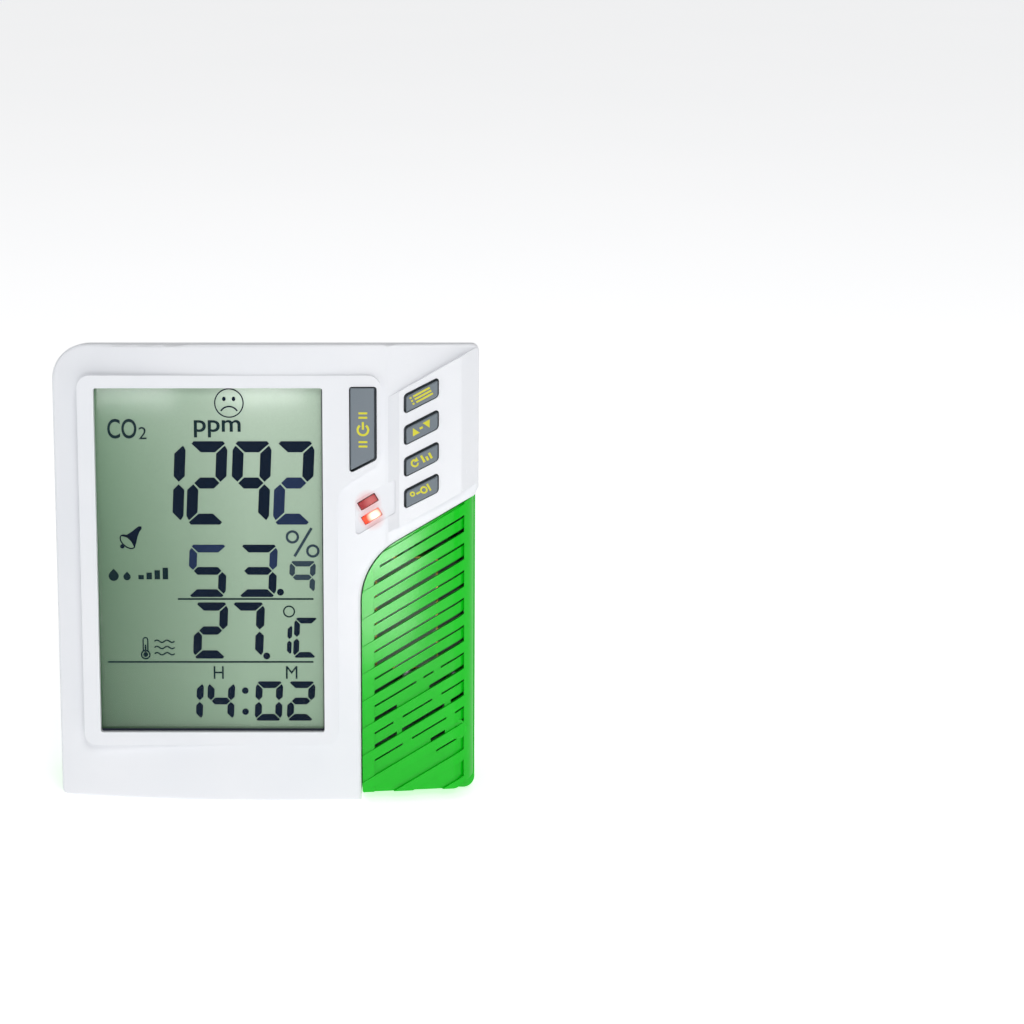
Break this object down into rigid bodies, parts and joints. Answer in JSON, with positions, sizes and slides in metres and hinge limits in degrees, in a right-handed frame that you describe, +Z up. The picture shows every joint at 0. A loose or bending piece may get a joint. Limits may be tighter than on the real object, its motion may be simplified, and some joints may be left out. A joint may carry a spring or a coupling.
{
  "type": "carbon dioxide monitor",
  "caption": "Desk and wall air monitor with a large leaning display, side push buttons, indicator lamps and a slanted-louvre vent panel on a wedge-shaped case.",
  "frame": {"origin": "centre of the footprint on the table, under the rubber feet", "axes": "+X to the right across the face, +Y from the front to the rear wall, +Z up"},
  "size_m": [0.146, 0.0858, 0.1584],
  "materials": {
    "front_white": "satin",
    "vent_green": "satin",
    "band_green": "satin",
    "shell_grey": "fine texture",
    "window_clear": "clear",
    "lcd_ground": "satin",
    "reflector_silver": "satin",
    "holder_white": "matt",
    "strip_grey": "matt",
    "board_green": "satin",
    "chip_black": "matt",
    "part_black": "matt",
    "socket_metal": "satin",
    "can_metal": "satin",
    "button_grey": "matt",
    "plunger_black": "matt",
    "led_red": "diffuse",
    "led_amber": "diffuse",
    "chamber_gold": "satin",
    "membrane_white": "matt",
    "screw_steel": "plated",
    "foot_rubber": "matt"
  },
  "bodies": {
    "case": {"front_bezel": "front_white", "vent_grille": "vent_green", "mid_frame": "band_green", "rear_shell": "shell_grey", "display_lens": "window_clear", "lcd_cell": "lcd_ground", "lcd_reflector": "reflector_silver", "lcd_holder": "holder_white", "contact_strip_lower": "strip_grey", "contact_strip_upper": "strip_grey", "main_pcb": "board_green", "display_driver": "chip_black", "controller_chip": "chip_black", "buzzer": "part_black", "supply_capacitor": "can_metal", "dc_socket": "part_black", "data_socket": "socket_metal", "line_socket": "part_black", "power_switch": "part_black", "mode_switch": "part_black", "select_switch": "part_black", "recall_switch": "part_black", "unit_switch": "part_black", "alarm_led": "led_red", "status_led": "led_amber", "led_spacer": "membrane_white", "sensor_pcb": "board_green", "sensor_chamber": "chamber_gold", "ir_lamp": "can_metal", "ir_detector": "can_metal", "sensor_membrane": "membrane_white", "sensor_header": "part_black", "humidity_sensor": "chip_black", "case_screws": "screw_steel", "board_screws": "screw_steel", "sensor_screws": "screw_steel", "foot_front_left": "foot_rubber", "foot_front_right": "foot_rubber", "foot_rear_left": "foot_rubber", "foot_rear_right": "foot_rubber"},
    "power_key": {"power_button": "button_grey", "power_plunger": "plunger_black"},
    "mode_key": {"mode_button": "button_grey", "mode_plunger": "plunger_black"},
    "select_key": {"select_button": "button_grey", "select_plunger": "plunger_black"},
    "recall_key": {"recall_button": "button_grey", "recall_plunger": "plunger_black"},
    "unit_key": {"unit_button": "button_grey", "unit_plunger": "plunger_black"}
  },
  "joints": [
    {"name": "power_press", "type": "slide", "parent": "case", "child": "power_key", "axis": [0, 0.9848, -0.1736], "range_m": [0, 0.0006], "stiffness_N_per_m": 800, "springref_m": -0.0004},
    {"name": "mode_press", "type": "slide", "parent": "case", "child": "mode_key", "axis": [0, 0.9848, -0.1736], "range_m": [0, 0.0006], "stiffness_N_per_m": 700, "springref_m": -0.0004},
    {"name": "select_press", "type": "slide", "parent": "case", "child": "select_key", "axis": [0, 0.9848, -0.1736], "range_m": [0, 0.0006], "stiffness_N_per_m": 700, "springref_m": -0.0004},
    {"name": "recall_press", "type": "slide", "parent": "case", "child": "recall_key", "axis": [0, 0.9848, -0.1736], "range_m": [0, 0.0006], "stiffness_N_per_m": 700, "springref_m": -0.0004},
    {"name": "unit_press", "type": "slide", "parent": "case", "child": "unit_key", "axis": [0, 0.9848, -0.1736], "range_m": [0, 0.0006], "stiffness_N_per_m": 700, "springref_m": -0.0004}
  ]
}
